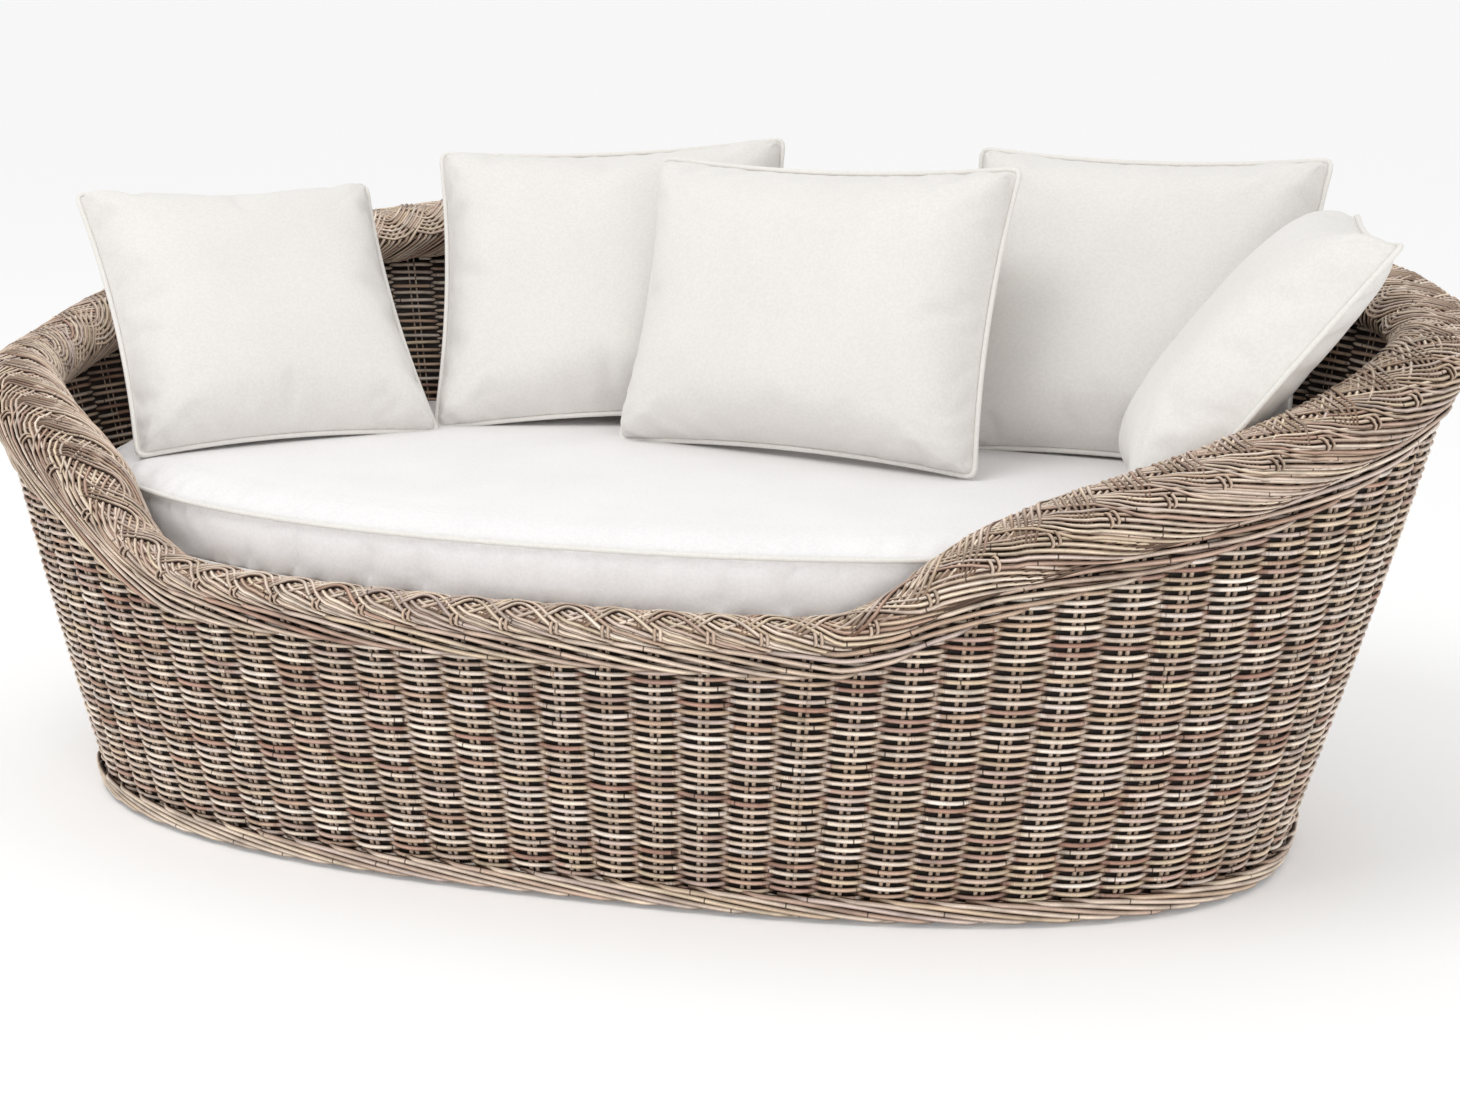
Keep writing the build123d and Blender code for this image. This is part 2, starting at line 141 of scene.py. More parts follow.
# Width, height, thickness in front and behind, place on the seat, and turn, lean and tip in degrees
pillows = {
    "left_pillow": (0.433, 0.430, 0.078, 0.062, (-0.552, -0.052), (45, 40, -1)),
    "back_left_pillow": (0.515, 0.440, 0.076, 0.076, (-0.158, 0.186), (12, 31, 3)),
    "centre_pillow": (0.560, 0.405, 0.080, 0.062, (0.147, 0.036), (-17, 18, 1)),
    "back_right_pillow": (0.492, 0.440, 0.072, 0.054, (0.560, 0.141), (-9, 25, 0)),
    "right_pillow": (0.344, 0.435, 0.088, 0.027, (0.640, -0.104), (-80, 38, 0)),
}
pillow_bodies = {
    "left_pillow": "left_pillow_body",
    "back_left_pillow": "back_pillows",
    "centre_pillow": "centre_pillow_body",
    "back_right_pillow": "back_pillows",
    "right_pillow": "right_pillow_body",
}


# Shape of the shell


def smooth(x):
    """From 0 to 1 with no kink at either end."""
    x = np.clip(x, 0, 1)
    return x * x * (3 - 2 * x)


def rim_share_at(turn):
    """Height share of the rim at one turn angle, read smoothly between its spots."""
    turn = (turn + 180) % 360 - 180
    spots = [(a - 360, s) for a, s in rim_shares[-4:-1]] + rim_shares
    spots += [(a + 360, s) for a, s in rim_shares[1:4]]
    slopes = [(q[1] - p[1]) / (q[0] - p[0]) for p, q in zip(spots, spots[1:])]
    leans = [0.0]
    for one, two in zip(slopes, slopes[1:]):
        leans.append(0.0 if one * two <= 0 else 2 * one * two / (one + two))
    leans.append(0.0)
    i = max(k for k in range(len(spots) - 1) if spots[k][0] <= turn)
    span = spots[i + 1][0] - spots[i][0]
    t = (turn - spots[i][0]) / span
    low, high = spots[i][1], spots[i + 1][1]
    bend = (1 + 2 * t) * (1 - t) ** 2 * low + t * t * (3 - 2 * t) * high
    return bend + span * t * (1 - t) * ((1 - t) * leans[i] - t * leans[i + 1])


share_turns = np.linspace(-180, 180, 1441)
share_table = np.array([rim_share_at(turn) for turn in share_turns])


def rim_share(turn):
    return np.interp((np.asarray(turn) + 180) % 360 - 180, share_turns, share_table)


def rim_height(turn):
    return front_rim_height + (back_rim_height - front_rim_height) * rim_share(turn)


def rolled(turn, sizes):
    """A size of the rolled rim, from its front value to its value on the arms."""
    return sizes[0] + (sizes[1] - sizes[0]) * smooth(rim_share(turn) / roll_full_share)


def wall_top(turn):
    return rim_height(turn) - rolled(turn, roll_drop)


def azimuth(turn):
    angle = np.radians(turn)
    return np.arctan2(shell_half_depth * np.sin(angle), shell_half_length * np.cos(angle))


def reach(turn, height, depth=0.0):
    """Distance from the axis to the shell's outer face, less a depth square to it."""
    t = np.asarray(height) / shell_level
    a = base_half_length + (shell_half_length - base_half_length) * t
    a = a + 4 * shell_belly * t * (1 - t)
    b = base_half_depth + (shell_half_depth - base_half_depth) * t
    n = base_power + (shell_power - base_power) * np.minimum(t, 1.0)
    c = np.abs(np.cos(azimuth(turn)))
    s = np.abs(np.sin(azimuth(turn)))
    radius = ((c / a) ** n + (s / b) ** n) ** (-1 / n)
    slope_x = (radius * c / a) ** (n - 1) / a
    slope_y = (radius * s / b) ** (n - 1) / b
    facing = (slope_x * c + slope_y * s) / np.hypot(slope_x, slope_y)
    return radius - depth / facing


def wall_reach(turn, height, depth=0.0):
    """The same for the wall, whose face bows through three levels."""
    top = wall_top(turn)
    levels = (np.full_like(top, shell_foot), (shell_foot + top) / 2, top)
    total = 0
    for i, at in enumerate(levels):
        one, two = (levels[k] for k in range(3) if k != i)
        across = (at - one) * (at - two)
        total = total + reach(turn, at, depth) * (height - one) * (height - two) / across
    return total


def polar(distance, turn, height):
    angle = azimuth(turn)
    return np.stack([distance * np.cos(angle), distance * np.sin(angle), height + 0 * distance], -1)


def outward(turn, height):
    """Level unit vector square to the shell's outer face."""
    near = polar(reach(turn, height), turn, height)
    step = polar(reach(turn + 0.05, height), turn + 0.05, height) - near
    square = np.stack([step[..., 1], -step[..., 0], 0 * step[..., 0]], -1)
    return square / np.linalg.norm(square, axis=-1, keepdims=True)


# Stake numbers along the shell, evenly spaced at mid height
fine_turns = np.linspace(-180, 180, 3601)
mid_height = shell_level / 2
fine_points = polar(reach(fine_turns, mid_height), fine_turns, mid_height + 0 * fine_turns)
fine_steps = np.linalg.norm(np.diff(fine_points, axis=0), axis=1)
fine_lengths = np.concatenate([[0], np.cumsum(fine_steps)])
stake_pitch = fine_lengths[-1] / stake_count
fine_stakes = fine_lengths / stake_pitch


def turn_at(stake):
    lap = np.floor(np.asarray(stake) / stake_count)
    return np.interp(stake - lap * stake_count, fine_stakes, fine_turns) + 360 * lap


def stake_at(turn):
    lap = np.floor((turn + 180) / 360)
    return float(np.interp(turn - 360 * lap, fine_turns, fine_stakes) + stake_count * lap)


sides = {
    "front": (left_foot_turn, right_foot_turn),
    "right": (right_foot_turn, right_back_turn),
    "back": (right_back_turn, left_back_turn),
    "left": (left_back_turn, left_foot_turn + 360),
}
stake_spans = {
    side: (round(stake_at(first)), round(stake_at(last))) for side, (first, last) in sides.items()
}


# Mesh making


def smooth_faces(mesh):
    mesh.polygons.foreach_set("use_smooth", np.ones(len(mesh.polygons), bool))


class Strands:
    """Collects round strands and makes one mesh of them, with what the materials read."""

    def __init__(self, ring=6):
        self.ring = ring
        self.points, self.loops, self.starts = [], [], []
        self.tone, self.along, self.shade = [], [], []
        self.count = 0
        self.corners = 0

    def add(
        self, path, out, radius, tone, shade=None, groove=0.0, face=1.0, crevice_shade=None, closed=False,
    ):
        """One strand along path; out points away from what it lies on, tone is its colour number.

        Three values paint shade into its colour: the first on its outer side, or on its inner one
        where it is below 0; the second on all but the side that shows, the outer one where face is 1
        and the inner one where it is -1; the third all round, as in a crevice.
        """
        path, out = np.asarray(path), np.asarray(out)
        n, ring = len(path), self.ring
        if closed:
            tangent = np.roll(path, -1, 0) - np.roll(path, 1, 0)
        else:
            tangent = np.gradient(path, axis=0)
        tangent /= np.linalg.norm(tangent, axis=1, keepdims=True)
        side = np.cross(tangent, out)
        side /= np.linalg.norm(side, axis=1, keepdims=True)
        up = np.cross(side, tangent)
        angle = np.arange(ring) * 2 * math.pi / ring
        radius = np.broadcast_to(radius, (n,))[:, None, None]
        circle = np.cos(angle)[None, :, None] * up[:, None]
        circle = circle + np.sin(angle)[None, :, None] * side[:, None]
        self.points.append((path[:, None] + circle * radius).reshape(-1, 3))
        steps = np.linalg.norm(np.diff(path, axis=0), axis=1)
        along = np.concatenate([[0], np.cumsum(steps)])
        self.along.append(np.repeat(along, ring))
        self.tone.append(np.repeat(np.broadcast_to(tone, (n,)), ring))
        dark = np.zeros((n, ring)) if shade is None else shade[:, None] * np.cos(angle)[None]
        face = np.broadcast_to(face, (n,))[:, None]
        hidden = np.clip(0.75 - face * np.cos(angle)[None], 0, 1)
        dark = np.maximum(dark, groove * np.abs(face) * hidden)
        if crevice_shade is not None:
            dark = np.maximum(dark, crevice_shade[:, None])
        self.shade.append(dark.ravel())
        base = self.count
        rows = np.arange(n if closed else n - 1)
        a = base + rows[:, None] * ring + np.arange(ring)[None]
        b = base + rows[:, None] * ring + (np.arange(ring)[None] + 1) % ring
        c = base + ((rows[:, None] + 1) % n) * ring + (np.arange(ring)[None] + 1) % ring
        d = base + ((rows[:, None] + 1) % n) * ring + np.arange(ring)[None]
        quads = np.stack([a, b, c, d], -1).reshape(-1, 4)
        self.loops.append(quads.ravel())
        self.starts.append(self.corners + 4 * np.arange(len(quads)))
        self.corners += quads.size
        if not closed:
            for cap in (base + np.arange(ring)[::-1], base + (n - 1) * ring + np.arange(ring)):
                self.loops.append(cap)
                self.starts.append(np.array([self.corners]))
                self.corners += ring
        self.count += n * ring

    def piece(self, name, material, body, slot, *nodes):
        """One mesh of all strands, with their tone, length and painted shade as point attributes."""
        mesh = bpy.data.meshes.new(name)
        points = np.concatenate(self.points).astype(np.float32)
        loops = np.concatenate(self.loops).astype(np.int32)
        starts = np.concatenate(self.starts).astype(np.int32)
        mesh.vertices.add(len(points))
        mesh.vertices.foreach_set("co", points.ravel())
        mesh.loops.add(len(loops))
        mesh.loops.foreach_set("vertex_index", loops)
        mesh.polygons.add(len(starts))
        mesh.polygons.foreach_set("loop_start", starts)
        mesh.update(calc_edges=True)
        smooth_faces(mesh)
        for label, values in (("tone", self.tone), ("along", self.along), ("shade", self.shade)):
            layer = mesh.attributes.new(label, "FLOAT", "POINT")
            layer.data.foreach_set("value", np.concatenate(values).astype(np.float32))
        return finish_piece(name, mesh, material, body, slot, *nodes)


def link_object(name, content):
    made = bpy.data.objects.new(name, content)
    bpy.context.scene.collection.objects.link(made)
    return made


def finish_piece(name, mesh, material, body, slot, *nodes):
    """A piece that rides on a body, takes the finish given and stands for the nodes given; its slot is
    not used.
    """
    piece = link_object(name, mesh)
    mesh.materials.append(material)
    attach(piece, body)
    if nodes:
        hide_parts(*nodes)
    return piece


def grid_mesh(name, points, closed=False):
    """Mesh of a grid of points, closed along its first direction where asked."""
    rows, cols = points.shape[:2]
    turns = np.arange(rows if closed else rows - 1)
    a = turns[:, None] * cols + np.arange(cols - 1)[None]
    b = ((turns[:, None] + 1) % rows) * cols + np.arange(cols - 1)[None]
    faces = np.stack([a, b, b + 1, a + 1], -1).reshape(-1, 4)
    mesh = bpy.data.meshes.new(name)
    mesh.from_pydata(points.reshape(-1, 3).tolist(), [], faces.tolist())
    mesh.update()
    smooth_faces(mesh)
    return mesh


# Materials


class Shader:
    """A material with short ways to add nodes."""

    def __init__(self, name):
        self.material = bpy.data.materials.new(name)
        self.material.use_nodes = True
        self.tree = self.material.node_tree
        self.surface = self.tree.nodes["Principled BSDF"]

    def node(self, kind, **settings):
        made = self.tree.nodes.new("ShaderNode" + kind)
        for key, value in settings.items():
            if hasattr(made, key):
                setattr(made, key, value)
            else:
                made.inputs[key.replace("_", " ")].default_value = value
        return made

    def link(self, one, two):
        self.tree.links.new(one, two)

    def value(self, label):
        return self.node("Attribute", attribute_name=label).outputs["Fac"]

    def maths(self, operation, one, two=None):
        made = self.node("Math", operation=operation)
        for socket, given in zip(made.inputs, (one, two)):
            if isinstance(given, (int, float)):
                socket.default_value = given
            elif given is not None:
                self.link(given, socket)
        return made.outputs[0]

    def mix(self, kind, share, one, two):
        made = self.node("Mix", data_type="RGBA", blend_type=kind)
        sockets = (made.inputs[0], made.inputs[6], made.inputs[7])
        for socket, given in zip(sockets, (share, one, two)):
            if isinstance(given, (int, float, tuple)):
                socket.default_value = given
            else:
                self.link(given, socket)
        return made.outputs[2]

    def ramp(self, source, stops):
        made = self.node("ValToRGB")
        while len(made.color_ramp.elements) < len(stops):
            made.color_ramp.elements.new(0.5)
        for element, (place, colour) in zip(made.color_ramp.elements, stops):
            element.position = place
            element.color = colour
        self.link(source, made.inputs[0])
        return made.outputs[0]

    def bump(self, source, strength, distance):
        made = self.node("Bump", Strength=strength, Distance=distance)
        self.link(source, made.inputs["Height"])
        self.link(made.outputs[0], self.surface.inputs["Normal"])


def tint(red, green, blue):
    """Linear colour from 0-255 display values."""
    def linear(v):
        v /= 255
        return v / 12.92 if v <= 0.04045 else ((v + 0.055) / 1.055) ** 2.4

    return (linear(red), linear(green), linear(blue), 1.0)


def grey(level):
    return (level, level, level, 1.0)


def rattan(name, colours):
    """Cane whose colour goes by strand, with fibres, blotches and node rings along it, and with
    painted light and shade.
    """
    s = Shader(name)
    tone, along, shade = s.value("tone"), s.value("along"), s.value("shade")

    # Strands with near tones still get unlike colours
    last = len(colours) - 1
    stops = [(i / last, tint(*colour)) for i, colour in enumerate(colours)]
    fraction = s.maths("FRACT", s.maths("MULTIPLY", tone, 7.31))
    base = s.ramp(fraction, stops)

    # Blotches along each strand, then fine fibres
    spot = s.node("CombineXYZ")
    s.link(along, spot.inputs[0])
    s.link(s.maths("MULTIPLY", tone, 37.0), spot.inputs[1])
    blotch = s.node("TexNoise", Scale=16.0, Detail=3.0, Roughness=0.6)
    s.link(spot.outputs[0], blotch.inputs["Vector"])
    patches = s.ramp(blotch.outputs[0], [(0.3, grey(0.56)), (0.5, grey(0.92)), (0.72, grey(1.16))])
    base = s.mix("MULTIPLY", 1.0, base, patches)
    place = s.node("NewGeometry")
    fibre = s.node("TexNoise", Scale=900.0, Detail=2.0)
    s.link(place.outputs["Position"], fibre.inputs["Vector"])
    streaks = s.ramp(fibre.outputs[0], [(0.35, grey(0.8)), (0.6, grey(1.06))])
    base = s.mix("MULTIPLY", 0.8, base, streaks)

    # A dark ring at each node of the cane, 0.27 m apart
    ring_place = s.maths("ADD", s.maths("MULTIPLY", along, 3.7), s.maths("MULTIPLY", tone, 5.0))
    ring = s.maths("LESS_THAN", s.maths("FRACT", ring_place), 0.007)
    base = s.mix("MIX", s.maths("MULTIPLY", ring, 0.8), base, tint(52, 36, 26))

    # Painted light and shade: lighter where nothing shades the cane, darker with depth in the crevices
    crevice, deepest = (0.32, 0.25, 0.205, 1.0), (0.028, 0.015, 0.010, 1.0)
    lit = s.ramp(shade, [(0.0, grey(1.32)), (0.10, grey(1.0)), (0.37, crevice), (0.78, deepest)])
    base = s.mix("MULTIPLY", 1.0, base, lit)
    s.link(base, s.surface.inputs["Base Color"])
    s.surface.inputs["Roughness"].default_value = 0.46
    s.surface.inputs["Specular IOR Level"].default_value = 0.3
    s.bump(fibre.outputs[0], 0.25, 0.0006)
    return s.material


def canvas(name, colour):
    """Plain off-white canvas with a fine weave and faint unevenness."""
    s = Shader(name)
    place = s.node("NewGeometry").outputs["Position"]
    cloud = s.node("TexNoise", Scale=9.0, Detail=4.0)
    s.link(place, cloud.inputs["Vector"])
    soft = s.ramp(cloud.outputs[0], [(0.3, grey(0.965)), (0.7, grey(1.0))])
    base = s.mix("MULTIPLY", 1.0, tint(*colour), soft)
    slub = s.node("TexNoise", Scale=260.0, Detail=3.0)
    s.link(place, slub.inputs["Vector"])
    flecks = s.ramp(slub.outputs[0], [(0.4, grey(0.955)), (0.6, grey(1.0))])
    base = s.mix("MULTIPLY", 1.0, base, flecks)
    s.link(base, s.surface.inputs["Base Color"])
    s.surface.inputs["Roughness"].default_value = 0.92
    s.surface.inputs["Sheen Weight"].default_value = 0.15
    s.surface.inputs["Specular IOR Level"].default_value = 0.2
    warp = s.node("TexWave", wave_type="BANDS", bands_direction="X", Scale=320.0, Distortion=1.0)
    weft = s.node("TexWave", wave_type="BANDS", bands_direction="Z", Scale=320.0, Distortion=1.0)
    s.link(place, warp.inputs["Vector"])
    s.link(place, weft.inputs["Vector"])
    threads = s.maths("MAXIMUM", warp.outputs[1], weft.outputs[1])
    threads = s.maths("ADD", threads, slub.outputs[0])
    s.bump(threads, 0.18, 0.0008)
    return s.material


def wood(name, dark, light, scale):
    """Plain sawn or peeled wood with grain."""
    s = Shader(name)
    place = s.node("NewGeometry").outputs["Position"]
    grain = s.node("TexNoise", Scale=scale, Detail=6.0, Distortion=1.2)
    s.link(place, grain.inputs["Vector"])
    base = s.ramp(grain.outputs[0], [(0.3, tint(*dark)), (0.7, tint(*light))])
    s.link(base, s.surface.inputs["Base Color"])
    s.surface.inputs["Roughness"].default_value = 0.62
    s.bump(grain.outputs[0], 0.3, 0.001)
    return s.material


def rubber(name):
    """Dark rubber with fine specks."""
    s = Shader(name)
    place = s.node("NewGeometry").outputs["Position"]
    specks = s.node("TexNoise", Scale=600.0)
    s.link(place, specks.inputs["Vector"])
    base = s.ramp(specks.outputs[0], [(0.3, tint(38, 36, 34)), (0.7, tint(58, 55, 52))])
    s.link(base, s.surface.inputs["Base Color"])
    s.surface.inputs["Roughness"].default_value = 0.8
    s.bump(specks.outputs[0], 0.2, 0.0005)
    return s.material


cane_colours = [
    (241, 225, 208), (213, 190, 171), (251, 239, 226), (191, 155, 138), (231, 211, 183),
    (177, 137, 120), (234, 219, 209), (220, 197, 173), (246, 232, 216), (206, 182, 165),
]
braid_colours = [
    (232, 214, 197), (205, 180, 162), (245, 230, 213), (188, 155, 137), (226, 207, 180),
    (212, 193, 183), (239, 221, 198), (196, 169, 149),
]
stake_colours = [(211, 188, 168), (193, 169, 148), (217, 196, 178), (201, 177, 156)]
weave_cane = rattan("kubu_weavers", cane_colours)
braid_cane = rattan("kubu_braid", braid_colours)
stake_cane = rattan("kubu_stakes", stake_colours)
# Near-black grained finish of the sheets of painted shade in the wall and the roll
shade_sheet_material = wood("painted_shade_sheet", (20, 13, 9), (36, 24, 17), 60.0)
pole_wood = wood("peeled_pole", (150, 116, 80), (196, 162, 120), 35.0)
timber_wood = wood("sawn_timber", (140, 108, 74), (184, 150, 108), 18.0)
glide_rubber = rubber("floor_rubber")
seat_cloth = canvas("off_white_seat_canvas", (244, 242, 242))
# The pillows are of the same canvas as the seat, painted darker as shade
shaded_pillow_cloth = canvas("pillow_canvas_painted_shade", (233, 230, 226))
piping_cloth = canvas("off_white_piping", (236, 233, 228))


# The woven wall: rows of cane that pass outside and inside the pairs of stakes by turns


def slow_wave(stake, height):
    """How far the rows of one place rise and sink together."""
    long_wave = 0.0012 * np.sin(stake * 0.41 + height * 9.0)
    return long_wave + 0.0008 * np.sin(stake * 1.17 - height * 21.0)


def row_wobble(stake, row):
    """How far one row strays from its neighbours."""
    return 0.0006 * np.sin(2.3 * stake + 1.7 * row)


def row_tones(row, stakes):
    """Colour number of a row's canes: one for each cane's length, a little different at each pass."""
    lot = np.random.default_rng(row_seed + row)
    lengths = lot.uniform(*cane_passes, canes_in_row)
    ends = np.cumsum(lengths) - first_cane_lead
    tones = lot.uniform(0, 1, canes_in_row + 1)
    passes = lot.normal(0, pass_tone_spread, stake_count + 2)
    which = np.searchsorted(ends, stakes % stake_count)
    return tones[which] + passes[np.round(stakes % stake_count).astype(int)]


row_count = int((wall_top(80.0) - shell_foot) / row_pitch)
for side, (first, last) in stake_spans.items():
    weave = Strands()
    stakes = np.arange(first * steps_per_stake, last * steps_per_stake + 1) / steps_per_stake
    turns = turn_at(stakes)
    tops = wall_top(turns)
    for row in range(row_count):
        level = shell_foot + weaver_radius + row_pitch * row
        inside = level < tops - row_headroom
        edges = np.flatnonzero(np.diff(np.concatenate([[0], inside.astype(int), [0]])))
        for start, end in zip(edges[::2], edges[1::2]):
            if end - start < shortest_run:
                continue
            at, turn = stakes[start:end], turns[start:end]
            phase = np.cos(np.pi * (at + row))
            swing = np.sign(phase) * np.abs(phase) ** 0.8
            height = level - weaver_dip * phase + slow_wave(at, level) + row_wobble(at, row)
            depth = weave_thickness / 2 - weaver_swing * swing
            path = polar(wall_reach(turn, height, depth), turn, height)
            uneven = 0.9 + 0.12 * np.abs(phase) + 0.05 * np.sin(at * 0.9 + row * 2.1)
            # Painted shade: on the side toward the middle of the wall, on all but the side that shows,
            # and all round where the rows cross
            weave.add(
                path, outward(turn, height), weaver_radius * uneven, row_tones(row, at),
                shade=-weaver_shade * swing, groove=weaver_groove_shade,
                face=np.clip(3 * swing, -1, 1),
                crevice_shade=crossing_crevice_shade * np.clip(1 - 1.9 * np.abs(phase), 0, 1),
            )
    weave.piece(f"weavers_{side}", weave_cane, "shell", "weave", f"woven_wall_{side}")

    # A closed dark sheet in the middle of the wall, painted shade that makes the gaps between canes
    # look deep
    climb, layer = np.linspace(0, 1, wall_shade_sheet_layers), np.ones(wall_shade_sheet_layers)
    levels = np.concatenate([climb, climb[::-1], [0]])
    depths = wall_shade_sheet_depth + wall_shade_sheet_half * np.concatenate([-layer, layer, [-1]])
    grid_turns, grid_levels = np.meshgrid(turns[::2], levels, indexing="ij")
    grid_depths = np.broadcast_to(depths, grid_levels.shape)
    spans = wall_top(grid_turns) - shell_foot - wall_shade_sheet_shortfall
    heights = shell_foot + wall_shade_sheet_foot + spans * grid_levels
    points = polar(wall_reach(grid_turns, heights, grid_depths), grid_turns, heights)
    shade_sheet = grid_mesh(f"wall_shade_sheet_{side}", points)
    finish_piece(f"wall_shade_sheet_{side}", shade_sheet, shade_sheet_material, "shell", "weave")

# The pairs of stakes in the middle of the wall
stakes_made = Strands()
for number in range(stake_count):
    for hand in (-1, 1):
        at = number + hand * stake_spread / stake_pitch
        turn = np.full(stake_levels, turn_at(at))
        bottom, top = shell_foot + stake_start, wall_top(turn[0]) + stake_overrun
        height = np.linspace(bottom, top, stake_levels)
        path = polar(wall_reach(turn, height, weave_thickness / 2), turn, height)
        stakes_made.add(path, outward(turn, height), stake_radius, rng.uniform())
stakes_made.piece("wall_stakes", stake_cane, "shell", "weave")


# Bands of long canes that pass outside several stakes: the waling and the foot border


def band(name, node, side, low, high, span, depth, radius):
    """One cane for each stake, which sinks from the band's top to its bottom over a span of stakes."""
    made = Strands()
    first, last = stake_spans[side]
    t = np.linspace(0, 1, band_steps)
    tuck = smooth(np.minimum(t, 1 - t) / band_tuck_share)
    for number in range(first, last):
        turn = turn_at(number - span / 2 + span * t)
        bottom, top = low(turn) + radius, high(turn) - radius
        height = top + (bottom - top) * (0.5 - 0.5 * np.cos(np.pi * t))
        sunk = (1 - tuck) * band_tuck_depth
        path = polar(wall_reach(turn, height, -depth + sunk), turn, height)
        # Painted shade where the cane sinks into the weave at its ends, and beside the side that shows
        made.add(
            path, outward(turn, height), radius * (0.75 + 0.25 * tuck), rng.uniform(),
            shade=0.5 * (1 - tuck), groove=band_groove_shade,
        )
    made.piece(name, braid_cane, "shell", "braid", node)


for side in sides:
    band(
        f"waling_{side}", f"waling_band_{side}", side,
        low=lambda turn: wall_top(turn) - waling_height,
        high=lambda turn: wall_top(turn) + waling_rise,
        span=4.3, depth=0.0042, radius=0.0034,
    )
    band(
        f"border_{side}", f"foot_border_{side}", side,
        low=lambda turn: shell_foot + 0 * turn,
        high=lambda turn: shell_foot + border_height + 0 * turn,
        span=4.6, depth=0.0048, radius=0.0036,
    )


# The rolled rim


def arc(a, b, c, t):
    """Point and outward direction at a share t of the arc through three points of a section."""
    ax, ay, bx, by, cx, cy = a[0], a[1], b[0], b[1], c[0], c[1]
    d = 2 * (ax * (by - cy) + bx * (cy - ay) + cx * (ay - by))
    aa, bb, cc = ax * ax + ay * ay, bx * bx + by * by, cx * cx + cy * cy
    ox = (aa * (by - cy) + bb * (cy - ay) + cc * (ay - by)) / d
    oy = (aa * (cx - bx) + bb * (ax - cx) + cc * (bx - ax)) / d
    start, end = np.arctan2(ay - oy, ax - ox), np.arctan2(cy - oy, cx - ox)
    sweep = (end - start) % (2 * np.pi)
    turning = (bx - ax) * (cy - by) - (by - ay) * (cx - bx)
    sweep = np.where(turning > 0, sweep, sweep - 2 * np.pi)
    angle = start + sweep * t
    radius = np.hypot(ax - ox, ay - oy)
    return ox + radius * np.cos(angle), oy + radius * np.sin(angle), np.cos(angle), np.sin(angle)


def roll_point(stake, v, lift):
    """Point and direction on the rolled rim: v runs from its foot over the crest to its heel."""
    turn = turn_at(stake)
    crest = rim_height(turn)
    drop, width, bulge = (rolled(turn, sizes) for sizes in (roll_drop, roll_width, roll_bulge))
    low, middle = crest - drop + joint_gap, crest - drop / 2
    foot, heel = (reach(turn, low), low), (reach(turn, low, weave_thickness), low)
    cheek = (reach(turn, crest, -bulge) - (reach(turn, crest) - reach(turn, middle)), middle)
    top = (reach(turn, crest, width * 0.38), crest)
    shoulder = (reach(turn, crest, width * 0.84), crest - drop * 0.16)
    edge = (reach(turn, crest, width), crest - drop * 0.46)
    tuck = (reach(turn, crest, width * 0.78), crest - drop * 0.83)
    one, two = roll_breaks
    parts = (
        arc(foot, cheek, top, np.clip(v / one, 0, 1)),
        arc(top, shoulder, edge, np.clip((v - one) / (two - one), 0, 1)),
        arc(edge, tuck, heel, np.clip((v - two) / (1 - two), 0, 1)),
    )
    picked = [np.where(v < one, p, np.where(v < two, q, r)) for p, q, r in zip(*parts)]
    distance, height, level, rise = picked
    direction = polar(level, turn, rise)
    point = polar(distance, turn, height)
    return point + direction * np.asarray(lift)[..., None], direction


def section_length(stake):
    """Length round the rolled rim's section, from its foot to its heel."""
    v = np.linspace(0, 1, 40)
    points, _ = roll_point(stake + 0 * v, v, 0 * v)
    return float(np.linalg.norm(np.diff(points, axis=0), axis=1).sum())


section_lengths = np.array([section_length(stake) for stake in range(stake_count + 1)])


def roll_length(stake):
    return np.interp(np.asarray(stake) % stake_count, np.arange(stake_count + 1), section_lengths)


def bundle(made, path_stake, path_v, lift, canes, spacing):
    """A bundle of parallel canes along a line on the rolled rim."""
    length = roll_length(path_stake)
    x, y = path_stake * stake_pitch, path_v * length
    slope = np.stack([np.gradient(x), np.gradient(y)], -1)
    slope /= np.linalg.norm(slope, axis=1, keepdims=True)
    shared = rng.uniform()
    for cane in range(canes):
        offset = (cane - (canes - 1) / 2) * spacing
        at = (x - slope[:, 1] * offset) / stake_pitch
        v = (y + slope[:, 0] * offset) / length
        wobble = rim_cane_wobble * np.sin(np.linspace(0, 5, len(x)) + rng.uniform(0, 6))
        point, way = roll_point(at, np.clip(v, 0.002, 0.998), lift + wobble)
        tone = shared + rng.normal(0, rim_tone_spread)
        from_end = np.minimum(np.arange(len(x)), np.arange(len(x))[::-1])
        ends = np.clip(from_end / 4.0, 0, 1)
        # Painted shade at both ends of each cane, where it goes under the others, and beside the side
        # that shows
        made.add(
            point, way, rim_cane_radius * (0.7 + 0.3 * ends), tone,
            shade=0.55 * (1 - ends), groove=rim_groove_shade,
        )


def braid_line(run, start, peak, shoulder, end, rise, fall, tail):
    """Height share of a bundle after a run of stakes: up over the crest, down, then a long tail."""
    up = start + (peak - start) * np.sin(np.pi / 2 * np.clip(run / rise, 0, 1))
    down = peak + (shoulder - peak) * smooth((run - rise) / fall)
    away = shoulder + (end - shoulder) * np.clip((run - rise - fall) / tail, 0, 1)
    return np.where(run < rise, up, np.where(run < rise + fall, down, away))


def cane_count(growth):
    return few_canes if growth < many_canes_growth else many_canes


